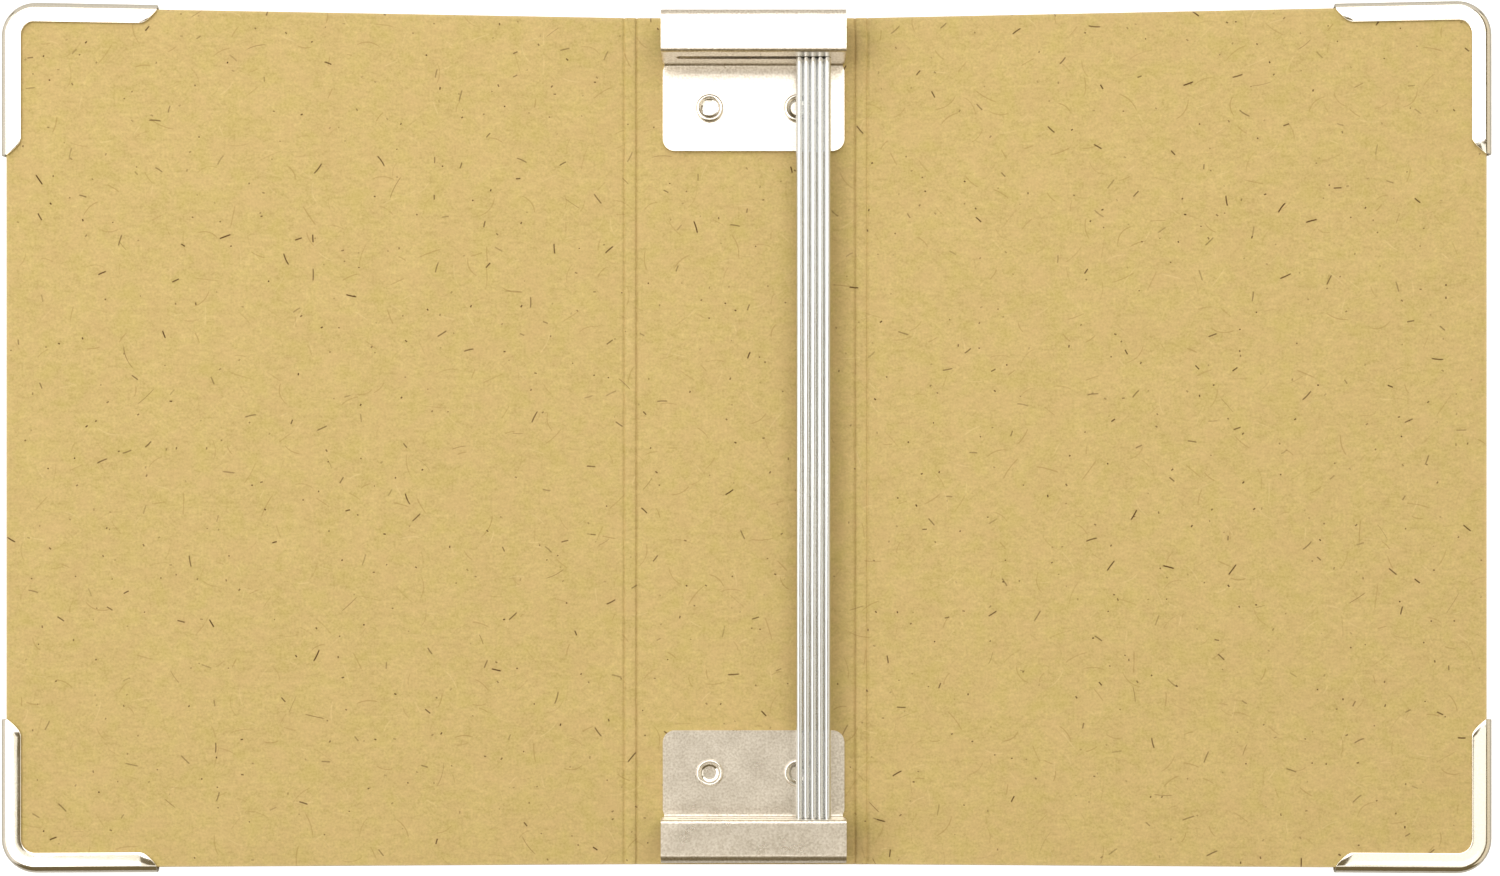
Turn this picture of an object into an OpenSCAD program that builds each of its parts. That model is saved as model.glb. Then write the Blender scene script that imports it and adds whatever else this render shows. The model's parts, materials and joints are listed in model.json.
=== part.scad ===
// Kraft album with rod binding, lying open and face up.
// X runs from the front cover to the back cover, Y along the spine, Z up from
// the flat ends of the rivets. The origin is under the middle of the spine.

/* [Board] */
// Height of the covers and the spine
board_h = 142; // [130:1:220]
// Width of a cover, from its outer crease to its fore edge
cover_w = 101.7; // [80:0.1:160]
// Width of the spine between its two inner creases
spine_w = 36.6; // [35:0.1:50]
// Width of the hinge strip between two creases
strip_w = 2.1; // [1.5:0.1:4]
// Thickness of the board
board_t = 1.6; // [1.2:0.1:2.2]
// Lift of the front cover as the album lies open, in degrees
front_tilt = 3.4; // [0:0.1:10]
// Lift of the back cover as the album lies open, in degrees
back_tilt = 3.9; // [0:0.1:10]
// Width of one crease line
crease_w = 0.3; // [0.2:0.05:0.5]
// Thickness of board left in a crease line
crease_t = 0.6; // [0.4:0.1:1]

/* [Brackets] */
// Length of a bracket across the spine
bracket_w = 30.4; // [28:0.1:32]
// Sideways offset of brackets and rods from the middle of the spine
bracket_off = 1.3; // [0:0.1:1.6]
// Gap between a bracket and the end of the spine
bracket_inset = 0.9; // [0.5:0.1:3]
// Depth of the riveted plate, measured along the spine
plate_d = 14.4; // [12:0.1:18]
// Depth of the raised box, measured along the spine
box_d = 7.2; // [6:0.1:9]
// Height of the raised box above the board
box_h = 8.7; // [8:0.1:10]
// Thickness of the sheet metal
sheet_t = 0.7; // [0.5:0.05:0.8]
// Outside radius of a bend
bend_r = 1.0; // [0.9:0.05:1.2]
// Radius of the plate's free corners
plate_corner_r = 2.0; // [1:0.1:3]
// Length of the rod slot
slot_l = 25.6; // [22:0.1:26]
// Height of the rod slot
slot_h = 1.6; // [1.4:0.05:1.8]
// Height of the slot's middle above the plate
slot_z = 4.2; // [3.8:0.1:5]

/* [Rivets] */
// Distance between the two rivets of a bracket
rivet_pitch = 14.7; // [12:0.1:18]
// Distance from the end of the spine to a rivet's centre
rivet_inset = 15.4; // [13:0.1:18]
// Diameter of the shank
shank_d = 3.0; // [2.5:0.1:3.4]
// Diameter of the rolled ring on the bracket
ring_d = 4.4; // [4:0.1:5]
// Height of the rolled ring
ring_h = 0.7; // [0.5:0.05:1]
// Diameter of the dish inside the ring
dish_d = 3.4; // [3:0.1:3.6]
// Depth of the dish
dish_depth = 0.8; // [0.5:0.05:1]
// Diameter of the outer head under the board
head_d = 7.0; // [6:0.1:9]
// Height of the outer head
head_h = 1.0; // [0.8:0.1:1.5]

/* [Rods] */
// Diameter of a rod
rod_d = 1.1; // [0.9:0.05:1.2]
// Distance between the centres of rods that lie side by side
rod_pitch = 1.16; // [1.15:0.01:1.4]
// Length of a rod
rod_l = 136; // [134:0.5:138]
// Bevel on the ends of a rod
rod_bevel = 0.2; // [0.1:0.05:0.3]

/* [Corner protectors] */
// Length of an arm, from the outer corner
corner_l = 25.4; // [20:0.1:30]
// Width of the flange on the board, from the outer face
flange_w = 3.4; // [3:0.1:5]
// Outside radius of the corner
corner_r = 5.2; // [4:0.1:8]
// Thickness of the corner's sheet metal
corner_t = 0.5; // [0.3:0.05:0.6]
// Gap between the edge of the board and the protector's wall
corner_gap = 0.4; // [0:0.1:0.5]
// Rounding of the outside bends
corner_bend = 0.8; // [0.6:0.1:0.9]
// Rounding at the end of an arm, on the side of the board
tip_r = 2.8; // [2:0.1:3]

/* [Hidden] */
$fn = 64;

kraft = [0.80, 0.70, 0.46];
crease_brown = [0.66, 0.54, 0.32];
satin_nickel = [0.80, 0.79, 0.76];
bright_nickel = [0.90, 0.90, 0.90];
steel = [0.72, 0.74, 0.78];

front = -1;
back = 1;
bottom = -1;
top = 1;
rod_count = 5;
slack = 1; // how far a cutter reaches past what it cuts
rod_play = 0.05; // gap between the last rod and the end of the slots
relief_w = 1.4; // nick beside a bracket's foot bend, where the sheet is folded
relief_depth = 0.25;

// heights
board_bottom = head_h;
board_top = board_bottom + board_t;
plate_top = board_top + sheet_t;
rod_z = plate_top + slot_z;

// places along the spine
outer_wall_y = board_h / 2 - bracket_inset;
inner_wall_y = outer_wall_y - box_d;
plate_end_y = inner_wall_y - plate_d;
rivet_y = board_h / 2 - rivet_inset;

// pockets of the corner protectors
pocket_bottom = -board_t;
pocket_wall = corner_t + corner_gap;
board_corner_r = corner_r - pocket_wall;

// radius of the ball that shapes a rivet's dish
dish_r = (pow(dish_d / 2, 2) + pow(dish_depth, 2)) / (2 * dish_depth);

// the last rod lies against the back end of the slots
last_rod_x = bracket_off + slot_l / 2 - rod_d / 2 - rod_play;

function tilt_of(side) = side == front ? front_tilt : back_tilt;

// ---- places ----

// What is drawn for the front, on -X, is mirrored for the back
module on_side(side) {
    if (side == front) children();
    else mirror([1, 0, 0]) children();
}

// What is drawn for the top end, on +Y, is mirrored for the bottom end
module at_end(end) {
    if (end == top) children();
    else mirror([0, 1, 0]) children();
}

// Frame of a hinge strip: the inner crease is its Y axis and the strip runs to -X
module strip_frame(side)
    on_side(side)
        translate([-spine_w / 2, 0, board_top])
            rotate([0, tilt_of(side) / 2, 0])
                children();

// Frame of a cover: the outer crease is its Y axis and the cover runs to -X
module cover_frame(side)
    strip_frame(side)
        translate([-strip_w, 0, 0])
            rotate([0, tilt_of(side) / 2, 0])
                children();

// What is cut from a square corner at the origin to round it; the corner points to -X, +Y
module corner_notch(r)
    difference() {
        translate([-slack, -r]) square(r + slack);
        translate([r, -r]) circle(r);
    }

// ---- board ----

// A panel of board from x1 to x2, its inner face on z = 0
module panel(x1, x2)
    translate([x1, -board_h / 2, -board_t])
        cube([x2 - x1, board_h, board_t]);

// The thin line of board that joins two panels
module crease_line()
    translate([-crease_w / 2, -board_h / 2, -crease_t])
        cube([crease_w, board_h, crease_t]);

module cover_board(side)
    color(kraft)
        cover_frame(side)
            difference() {
                panel(-cover_w, -crease_w / 2);
                for (end = [bottom, top])
                    at_end(end)
                        translate([-cover_w, board_h / 2, -board_t - slack])
                            linear_extrude(board_t + 2 * slack)
                                corner_notch(board_corner_r);
            }

module hinge_strip(side)
    color(kraft)
        strip_frame(side)
            panel(-strip_w + crease_w / 2, -crease_w / 2);

module spine_board()
    color(kraft)
        difference() {
            translate([0, 0, board_top])
                panel(-(spine_w - crease_w) / 2, (spine_w - crease_w) / 2);
            rivet_holes();
        }

module inner_crease(side)
    color(crease_brown)
        on_side(side)
            translate([-spine_w / 2, 0, board_top])
                crease_line();

module outer_crease(side)
    color(crease_brown)
        strip_frame(side)
            translate([-strip_w, 0, 0])
                crease_line();

// ---- corner protectors ----

// Section across an arm: x runs in from the outer face, y is up
module arm_section()
    difference() {
        union() {
            translate([corner_bend, pocket_bottom - corner_t])
                square([flange_w - corner_bend, board_t + 2 * corner_t]);
            translate([0, pocket_bottom - corner_t + corner_bend])
                square([flange_w, board_t + 2 * (corner_t - corner_bend)]);
            for (y = [pocket_bottom - corner_t + corner_bend, corner_t - corner_bend])
                translate([corner_bend, y]) circle(corner_bend);
        }
        translate([corner_t, pocket_bottom])
            square([flange_w, board_t]);
    }

// An arm with its outer face on x = 0 that runs to -Y, rounded at its end
module arm()
    difference() {
        translate([0, -corner_r, 0])
            rotate([90, 0, 0])
                linear_extrude(corner_l - corner_r)
                    arm_section();
        translate([flange_w, -corner_l, pocket_bottom - slack])
            rotate([0, 0, 180])
                linear_extrude(board_t + 2 * slack)
                    corner_notch(tip_r);
    }

// Outer corner at the origin, one arm along -Y and one along +X
module corner_protector() {
    arm();
    mirror([1, 1, 0]) arm();
    translate([corner_r, -corner_r, 0])
        rotate([0, 0, 90])
            rotate_extrude(angle = 90)
                translate([corner_r, 0]) mirror([1, 0]) arm_section();
}

module corner(side, end)
    color(bright_nickel)
        cover_frame(side)
            at_end(end)
                translate([-cover_w - pocket_wall, board_h / 2 + pocket_wall, 0])
                    corner_protector();

// ---- brackets ----

// A quarter of a ring, in the quadrant that starts at the given angle
module quarter_ring(angle)
    intersection() {
        difference() {
            circle(bend_r);
            circle(bend_r - sheet_t);
        }
        rotate([0, 0, angle]) square(bend_r);
    }

// Section through plate, inner wall, top and outer wall: x runs out along the spine, y is up
module bracket_section() {
    inside_r = bend_r - sheet_t;
    translate([plate_end_y, 0])
        square([plate_d - inside_r, sheet_t]);
    translate([inner_wall_y - inside_r, bend_r])
        quarter_ring(270);
    translate([inner_wall_y, bend_r])
        square([sheet_t, box_h - 2 * bend_r]);
    translate([inner_wall_y + bend_r, box_h - bend_r])
        quarter_ring(90);
    translate([inner_wall_y + bend_r, box_h - sheet_t])
        square([box_d - 2 * bend_r, sheet_t]);
    translate([outer_wall_y - bend_r, box_h - bend_r])
        quarter_ring(0);
    translate([outer_wall_y - sheet_t, 0])
        square([sheet_t, box_h - bend_r]);
}

// The slot's outline, lying along X
module slot_outline() {
    straight = slot_l - slot_h;
    square([straight, slot_h], center = true);
    for (x = [-straight / 2, straight / 2])
        translate([x, 0]) circle(slot_h / 2);
}

// A bracket at the top end of the spine
module top_end_bracket()
    difference() {
        translate([bracket_off - bracket_w / 2, 0, board_top])
            rotate([90, 0, 90])
                linear_extrude(bracket_w)
                    bracket_section();
        translate([bracket_off, inner_wall_y + sheet_t + slack, rod_z])
            rotate([90, 0, 0])
                linear_extrude(sheet_t + 2 * slack)
                    slot_outline();
        for (side = [front, back])
            translate([bracket_off + side * bracket_w / 2, inner_wall_y, board_top + relief_w / 2])
                cube([2 * relief_depth, relief_w, 2 * relief_w], center = true);
        for (side = [front, back])
            translate([bracket_off + side * bracket_w / 2, plate_end_y, board_top - slack])
                rotate([0, 0, side == front ? 90 : 180])
                    linear_extrude(sheet_t + 2 * slack)
                        corner_notch(plate_corner_r);
        rivet_holes();
    }

module bracket(end)
    color(satin_nickel)
        at_end(end) top_end_bracket();

// ---- rivets ----

function rivet_x(side) = bracket_off + side * rivet_pitch / 2;

module rivet_holes()
    for (side = [front, back], end = [bottom, top])
        translate([rivet_x(side), end * rivet_y, board_bottom - slack])
            cylinder(d = shank_d, h = board_t + sheet_t + 2 * slack);

// Half section: x is the distance from the rivet's axis, y is up
module rivet_section() {
    // outer head, flat below with a rounded rim
    square([head_d / 2 - head_h, head_h]);
    translate([head_d / 2 - head_h, head_h])
        intersection() {
            circle(head_h);
            translate([0, -head_h]) square(head_h);
        }
    // shank, with the rolled ring and its dish on top
    difference() {
        union() {
            square([shank_d / 2, plate_top]);
            translate([0, plate_top]) square([(ring_d - ring_h) / 2, ring_h]);
            translate([(ring_d - ring_h) / 2, plate_top + ring_h / 2]) circle(ring_h / 2);
        }
        translate([0, plate_top + ring_h - dish_depth + dish_r]) circle(dish_r);
    }
}

module rivet(end, side)
    color(bright_nickel)
        translate([rivet_x(side), end * rivet_y, 0])
            rotate_extrude()
                intersection() {
                    rivet_section();
                    square([head_d, plate_top + 2 * ring_h]);
                }

// ---- rods ----

// Rods are counted from the front to the back
module rod(n)
    color(steel)
        translate([last_rod_x - (rod_count - n) * rod_pitch, rod_l / 2, rod_z])
            rotate([90, 0, 0]) {
                cylinder(d1 = rod_d - 2 * rod_bevel, d2 = rod_d, h = rod_bevel);
                translate([0, 0, rod_bevel])
                    cylinder(d = rod_d, h = rod_l - 2 * rod_bevel);
                translate([0, 0, rod_l - rod_bevel])
                    cylinder(d1 = rod_d, d2 = rod_d - 2 * rod_bevel, h = rod_bevel);
            }

cover_board(front);  // front_cover_board
hinge_strip(front);  // front_hinge_strip
spine_board();
hinge_strip(back);  // back_hinge_strip
cover_board(back);  // back_cover_board
inner_crease(front);  // front_inner_crease
outer_crease(front);  // front_outer_crease
inner_crease(back);  // back_inner_crease
outer_crease(back);  // back_outer_crease
corner(front, top);  // front_top_corner
corner(front, bottom);  // front_bottom_corner
corner(back, top);  // back_top_corner
corner(back, bottom);  // back_bottom_corner
bracket(top);  // top_bracket
bracket(bottom);  // bottom_bracket
rivet(top, front);  // top_front_rivet
rivet(top, back);  // top_back_rivet
rivet(bottom, front);  // bottom_front_rivet
rivet(bottom, back);  // bottom_back_rivet
rod(1);  // rod_1
rod(2);  // rod_2
rod(3);  // rod_3
rod(4);  // rod_4
rod(5);  // rod_5
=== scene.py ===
# %% [markdown]
# # A kraft album with rod binding
# This lesson builds a small album that lies open and face up. Two kraft covers fold
# about a narrow spine, five loose steel rods run between two nickel brackets, and four
# bright corner protectors guard the covers. The engineering model is loaded first as a
# fixed frame. Each new piece takes its size and place from it and stands for the plain
# part there. All but the crease pieces ride on one of its bodies, so they still fold
# afterwards; the creases stay as they are folded here.

# %% Load the frame
import json
import math

import bmesh
import bpy
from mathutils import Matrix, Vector


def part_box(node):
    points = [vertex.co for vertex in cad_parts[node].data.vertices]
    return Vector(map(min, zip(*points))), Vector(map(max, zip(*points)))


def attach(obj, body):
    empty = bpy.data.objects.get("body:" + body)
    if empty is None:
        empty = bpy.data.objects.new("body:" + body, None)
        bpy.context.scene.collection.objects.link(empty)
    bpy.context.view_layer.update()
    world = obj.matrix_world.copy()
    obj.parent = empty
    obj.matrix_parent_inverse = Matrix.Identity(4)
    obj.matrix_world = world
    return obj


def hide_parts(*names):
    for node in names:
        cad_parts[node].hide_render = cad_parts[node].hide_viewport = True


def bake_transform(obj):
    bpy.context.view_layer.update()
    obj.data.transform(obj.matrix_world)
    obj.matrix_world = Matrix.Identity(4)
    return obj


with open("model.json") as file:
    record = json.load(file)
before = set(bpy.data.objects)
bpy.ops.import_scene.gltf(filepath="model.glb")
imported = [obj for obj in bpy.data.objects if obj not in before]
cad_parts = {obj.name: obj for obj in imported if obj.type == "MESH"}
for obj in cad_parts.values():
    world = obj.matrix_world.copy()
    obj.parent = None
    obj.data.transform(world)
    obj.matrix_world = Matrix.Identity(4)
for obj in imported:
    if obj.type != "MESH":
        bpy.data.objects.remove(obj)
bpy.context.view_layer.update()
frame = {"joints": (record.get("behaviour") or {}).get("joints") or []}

# %% [markdown]
# ## Sizes
# Everything is in metres. A part's box tells most sizes. The covers are tilted, so
# their box is larger than they are: the true width comes from the box and the tilt.
# The tilt itself is the distance from rest to flat, which each fold's range gives.

# %% Read the sizes from the frame
MM = 0.001
SIDES = {"front": -1, "back": 1}
ENDS = {"bottom": -1, "top": 1}
fold = {joint["name"]: joint for joint in frame["joints"]}


def size_of(node):
    """The box of a part: its lowest corner, its highest corner and its size."""
    low, high = map(Vector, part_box(node))
    return low, high, high - low


spine_high, spine_size = size_of("spine_board")[1:]
BOARD_TOP = spine_high.z
BOARD_T = spine_size.z
HALF_H = spine_high.y
CREASE_GAP = size_of("front_inner_crease")[2].x
INNER_CREASE = abs(fold["front_inner_fold"]["pos_m"][0])
HALF_TILT = {side: -math.radians(fold[f"{side}_inner_fold"]["range_deg"][0]) for side in SIDES}
inner_fold = Vector(fold["front_inner_fold"]["pos_m"])
outer_fold = Vector(fold["front_outer_fold"]["pos_m"])
STRIP_W = (outer_fold - inner_fold).length
OUTER_CREASE = INNER_CREASE + STRIP_W


def flat_width(node, tilt):
    """The width of a plate that is tilted about Y, from the box round it."""
    box = size_of(node)[2]
    return (box.x * math.cos(tilt) - box.z * math.sin(tilt)) / math.cos(2 * tilt)


COVER_W = flat_width("front_cover_board", 2 * HALF_TILT["front"]) + CREASE_GAP / 2
FORE_EDGE = OUTER_CREASE + COVER_W
print(f"board {2 * FORE_EDGE / MM:.1f} x {2 * HALF_H / MM:.1f} x {BOARD_T / MM:.1f} mm when flat")

# %% [markdown]
# ## Camera
# The album is seen from straight above, so the camera looks down its own -Z, which is
# how a new camera points. It hangs nearer the bottom end than the middle, and a lens
# shift brings the album back into the frame: a tilt would make its sides converge.

# %% Camera
CAMERA_HEIGHT = 355 * MM  # above the inner face of the spine
CAMERA_X = 0.7 * MM
CAMERA_Y = -37.6 * MM
LENS = 50.8  # mm, in front of a sensor 36 mm wide
LENS_SHIFT = 0.1515  # of the sensor's width

camera_place = (CAMERA_X, CAMERA_Y, BOARD_TOP + CAMERA_HEIGHT)
bpy.ops.object.camera_add(location=camera_place, rotation=(0, 0, 0))
camera = bpy.context.object
camera.name = "camera"
camera.data.sensor_width = 36
camera.data.lens = LENS
camera.data.shift_y = LENS_SHIFT
bpy.context.scene.camera = camera
print(f"camera {CAMERA_HEIGHT / MM:.0f} mm above the spine, with a {LENS} mm lens")

# %% [markdown]
# ## Light
# Metal shows what it mirrors, so the lights are large and soft, and their places decide
# which parts turn white. A wide panel beyond the top end whitens the top bracket and the
# upper corners. A key panel on the front side gives the board its light and lets the
# brackets and rods shade the back of the spine. A weaker panel hangs opposite, and a
# small cream card keeps the bottom bracket from going dark. A far panel and three pale
# walls light whatever leans or curves away. Straight overhead, where the camera hangs,
# the room stays dim, and that gap gives the bottom bracket its calmer grey.

# %% Softboxes
def softbox(name, place, target, size, power, colour):
    """A rectangular area light that faces the target."""
    aim = (Vector(target) - Vector(place)).to_track_quat("-Z", "Y").to_euler()
    bpy.ops.object.light_add(type="AREA", location=place, rotation=aim)
    light = bpy.context.object
    light.name = name
    light.data.shape = "RECTANGLE"
    light.data.size, light.data.size_y = size
    light.data.energy = power
    light.data.color = colour


SPINE = (0, 0, 0)
COLD_WHITE, WHITE, CREAM = (1.0, 0.985, 0.96), (1.0, 0.98, 0.95), (1.0, 0.96, 0.86)
softbox("back_panel", (-0.09, 0.25, 0.55), (-0.02, -0.01, 0), (0.94, 0.48), 3.2, COLD_WHITE)
softbox("key_panel", (-0.47, -0.12, 0.72), (0, -0.02, 0), (0.54, 0.45), 1.64, WHITE)
softbox("right_panel", (0.23, -0.07, 0.50), SPINE, (0.28, 0.25), 0.26, (1.0, 0.97, 0.90))
softbox("cream_card", (-0.217, -0.16, 0.71), (-0.217, -0.16, 0), (0.075, 0.33), 0.075, CREAM)
softbox("front_panel", (0, -0.83, 2.50), SPINE, (1.8, 0.75), 4.2, (1.0, 0.96, 0.88))
softbox("back_wall", (0, 1.30, 0.50), SPINE, (2.6, 1.4), 6.6, (1.0, 0.97, 0.92))
softbox("left_wall", (-1.00, 0, 0.45), SPINE, (1.8, 0.9), 3.6, (1.0, 0.97, 0.93))
softbox("right_wall", (1.00, 0, 0.45), SPINE, (1.8, 0.9), 3.4, (1.0, 0.90, 0.72))
print(len(bpy.data.lights), "softboxes")

# %% [markdown]
# ## Room and floor
# The room round the panels is dim and warm, which fills the shadows on the kraft. The
# floor is a pale sweep under the album. Both could simply be white, but then they would
# also light the board from all sides and wash out the metal. So only the camera sees
# them white: Light Path tells a camera ray from every other ray, and it does the
# switching, here for the room and at the end of the lesson for the floor.

# %% Dim room
ROOM_COLOUR = (1.0, 0.76, 0.38, 1)
ROOM_STRENGTH = 0.17
world = bpy.data.worlds.new("dim_room")
bpy.context.scene.world = world
world.use_nodes = True
room = world.node_tree
dim = room.nodes["Background"]
dim.inputs["Color"].default_value = ROOM_COLOUR
dim.inputs["Strength"].default_value = ROOM_STRENGTH
white = room.nodes.new("ShaderNodeBackground")
white.inputs["Color"].default_value = (1, 1, 1, 1)
ray = room.nodes.new("ShaderNodeLightPath")
to_camera = room.nodes.new("ShaderNodeMixShader")
room.links.new(ray.outputs["Is Camera Ray"], to_camera.inputs[0])
room.links.new(dim.outputs[0], to_camera.inputs[1])
room.links.new(white.outputs[0], to_camera.inputs[2])
room.links.new(to_camera.outputs[0], room.nodes["World Output"].inputs["Surface"])
bpy.context.scene.view_settings.view_transform = "Standard"
print("room strength", ROOM_STRENGTH)

# %% Floor
FLOOR_SIZE = 4.0
FLOOR_GAP = 0.05 * MM  # keeps the floor clear of the rivet heads that rest on it
bpy.ops.object.select_all(action="DESELECT")
bpy.ops.mesh.primitive_plane_add(size=FLOOR_SIZE, location=(0, 0, -FLOOR_GAP))
floor = bpy.context.object
floor.name = "floor"
print(f"floor {FLOOR_SIZE:.0f} m wide")

# %% [markdown]
# ## Helpers for modelling
# A part is modelled here as by hand: a primitive or a single point, then extrude, spin,
# bevel and bisect. Each operator acts on what is selected, so the helpers below first
# select exactly what is meant. Two of them hide a quirk: without a window, rotate and
# spin turn against the right-hand rule, so their angle changes sign.

# %% Helpers that select
def deselect_objects():
    if bpy.context.mode != "OBJECT":
        bpy.ops.object.mode_set(mode="OBJECT")
    bpy.ops.object.select_all(action="DESELECT")


def pick(obj, kind, test):
    """In edit mode, selects the elements of a kind (VERT, EDGE or FACE) that pass the test."""
    bpy.ops.mesh.select_mode(type=kind)
    bpy.ops.mesh.select_all(action="DESELECT")
    mesh = bmesh.from_edit_mesh(obj.data)
    elements = {"VERT": mesh.verts, "EDGE": mesh.edges, "FACE": mesh.faces}[kind]
    chosen = [element for element in elements if test(element)]
    for element in chosen:
        element.select_set(True)
    bmesh.update_edit_mesh(obj.data)
    return len(chosen)


def near(a, b, within=0.01 * MM):
    return abs(a - b) < within


print("select with deselect_objects, pick and near")

# %% Helpers that draw
def start_line(name, place):
    """Starts a new piece as one selected point, in edit mode."""
    deselect_objects()
    bpy.ops.mesh.primitive_plane_add(size=MM)
    obj = bpy.context.object
    obj.name = obj.data.name = name
    bpy.ops.object.mode_set(mode="EDIT")
    bpy.ops.mesh.select_all(action="SELECT")
    bpy.ops.mesh.merge(type="CENTER")
    bpy.ops.transform.translate(value=place)
    return obj


def draw(x, y, z):
    """Extrudes what is selected by a step."""
    bpy.ops.mesh.extrude_region_move(TRANSFORM_OT_translate={"value": (x, y, z)})


def draw_arc(angle, centre, axis, steps):
    """Spins what is selected through an angle, by the right-hand rule."""
    bpy.ops.mesh.spin(steps=steps, angle=-angle, center=centre, axis=axis)


def turn(angle, centre, axis):
    """Turns what is selected about a centre, by the right-hand rule."""
    bpy.ops.transform.rotate(value=-angle, orient_axis=axis, center_override=centre)


QUARTER = math.pi / 2
X_AXIS, Y_AXIS, Z_AXIS = (1, 0, 0), (0, 1, 0), (0, 0, 1)
print("draw with start_line, draw, draw_arc and turn")

# %% Helpers that finish
SHARP = math.radians(40)  # a bevel rounds the edges that are sharper than this


def face_out(obj):
    """Turns all faces the same way, the highest one upwards."""
    bpy.ops.mesh.select_all(action="SELECT")
    bpy.ops.mesh.normals_make_consistent(inside=False)
    faces = bmesh.from_edit_mesh(obj.data).faces
    highest = max(faces, key=lambda face: face.calc_center_median().z)
    if highest.normal.z < 0:
        bpy.ops.mesh.flip_normals()


def add_modifier(obj, kind, **settings):
    """Adds a modifier, sets it and applies it."""
    bpy.context.view_layer.objects.active = obj
    modifier = obj.modifiers.new(kind.lower(), kind)
    for name, value in settings.items():
        setattr(modifier, name, value)
    bpy.ops.object.modifier_apply(modifier=modifier.name)


def smooth(obj, angle=35):
    """Smooth shading up to an angle. Large faces lead at shared points, so flat faces look flat."""
    deselect_objects()
    obj.select_set(True)
    bpy.context.view_layer.objects.active = obj
    bpy.ops.object.shade_smooth_by_angle(angle=math.radians(angle))
    add_modifier(obj, "WEIGHTED_NORMAL", keep_sharp=True, weight=80)


def report(obj, node=None):
    """Prints the piece's size and how far its box is from the part that it stands for."""
    corners = [vertex.co for vertex in obj.data.vertices]
    low = Vector(min(c[i] for c in corners) for i in range(3))
    high = Vector(max(c[i] for c in corners) for i in range(3))
    off = ""
    if node:
        cad = size_of(node)
        off = f", off by {max((low - cad[0]).length, (high - cad[1]).length) / MM:.2f} mm"
    size = " x ".join(f"{s / MM:.1f}" for s in high - low)
    print(f"{obj.name}: {size} mm, {len(obj.data.polygons)} faces{off}")


print("finish with face_out, add_modifier, smooth and report")

# %% [markdown]
# ## The kraft board
# The wrap is one sheet of grey-brown board, pressed along four creases. It is drawn
# flat, from the spine outwards, and then folded into place. It could be one mesh, but a
# stiff panel and a soft crease move in different ways: the panels ride on one body
# each, and every crease is its own short piece, folded here into its rest place and
# not attached to any body. The flat position of each point is kept in an attribute, so
# that the fibres of the finish run on from panel to crease as if the sheet were whole.

# %% Helpers that cut the board
EDGE_ROUND = 0.18 * MM  # rounding of the cut edges


def draw_slab(name, x1, x2):
    """A flat length of board from x1 to x2, with its inner face on z = 0."""
    deselect_objects()
    middle = ((x1 + x2) / 2, 0, -BOARD_T / 2)
    measures = (abs(x2 - x1), 2 * HALF_H, BOARD_T)
    bpy.ops.mesh.primitive_cube_add(size=1, location=middle, scale=measures)
    obj = bpy.context.object
    obj.name = obj.data.name = name
    bpy.ops.object.transform_apply(location=True, rotation=True, scale=True)
    bpy.ops.object.mode_set(mode="EDIT")
    return obj


def soften_edges(obj, seams):
    """Rounds the long cut edges, but not the ends where the sheet runs on into the next piece."""

    def on_outline(edge):
        if any(all(near(vert.co.x, seam) for vert in edge.verts) for seam in seams):
            return False
        steepness = sorted(abs(face.normal.z) for face in edge.link_faces)
        return steepness[0] < 0.1 and steepness[-1] > 0.4

    pick(obj, "EDGE", on_outline)
    bpy.ops.mesh.bevel(offset=EDGE_ROUND, segments=3)


print(f"cut edges rounded by {EDGE_ROUND / MM:.2f} mm")

# %% Helpers that fold the board
def keep_flat_place(obj):
    """Stores where each point lies on the flat sheet, for the finish."""
    bpy.ops.object.mode_set(mode="OBJECT")
    place = obj.data.attributes.new("sheet", "FLOAT_VECTOR", "POINT")
    flat = [coordinate for vertex in obj.data.vertices for coordinate in vertex.co]
    place.data.foreach_set("vector", flat)


def fold_into_place(obj, side):
    """Folds what lies beyond each crease by half the cover's tilt, then lifts the piece."""
    bpy.ops.object.mode_set(mode="EDIT")
    for crease in (OUTER_CREASE, INNER_CREASE):
        if pick(obj, "VERT", lambda vert: SIDES[side] * vert.co.x > crease):
            turn(-SIDES[side] * HALF_TILT[side], (SIDES[side] * crease, 0, 0), "Y")
    bpy.ops.mesh.select_all(action="SELECT")
    bpy.ops.transform.translate(value=(0, 0, BOARD_TOP))
    bpy.ops.object.mode_set(mode="OBJECT")
    smooth(obj)


tilts = ", ".join(f"{side} {math.degrees(2 * HALF_TILT[side]):.1f}" for side in SIDES)
print("tilt of the covers in degrees:", tilts)

# %% Spine panel
CREASE_REACH = 1.0 * MM  # how far a crease piece runs into its stiff neighbour
spine_end = INNER_CREASE - CREASE_REACH
spine = draw_slab("spine_kraft", -spine_end, spine_end)
soften_edges(spine, seams=(-spine_end, spine_end))
keep_flat_place(spine)
fold_into_place(spine, "front")
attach(spine, "spine")
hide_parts("spine_board")
report(spine, "spine_board")

# %% Covers
CORNER_ROUND = 4.3 * MM  # rounding of a cover's free corners


def at_free_corner(edge):
    """True for an upright edge on the fore edge of a cover."""
    first, second = (vert.co for vert in edge.verts)
    on_fore_edge = near(abs(first.x), FORE_EDGE) and near(abs(second.x), FORE_EDGE)
    return on_fore_edge and near(first.y, second.y)


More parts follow.
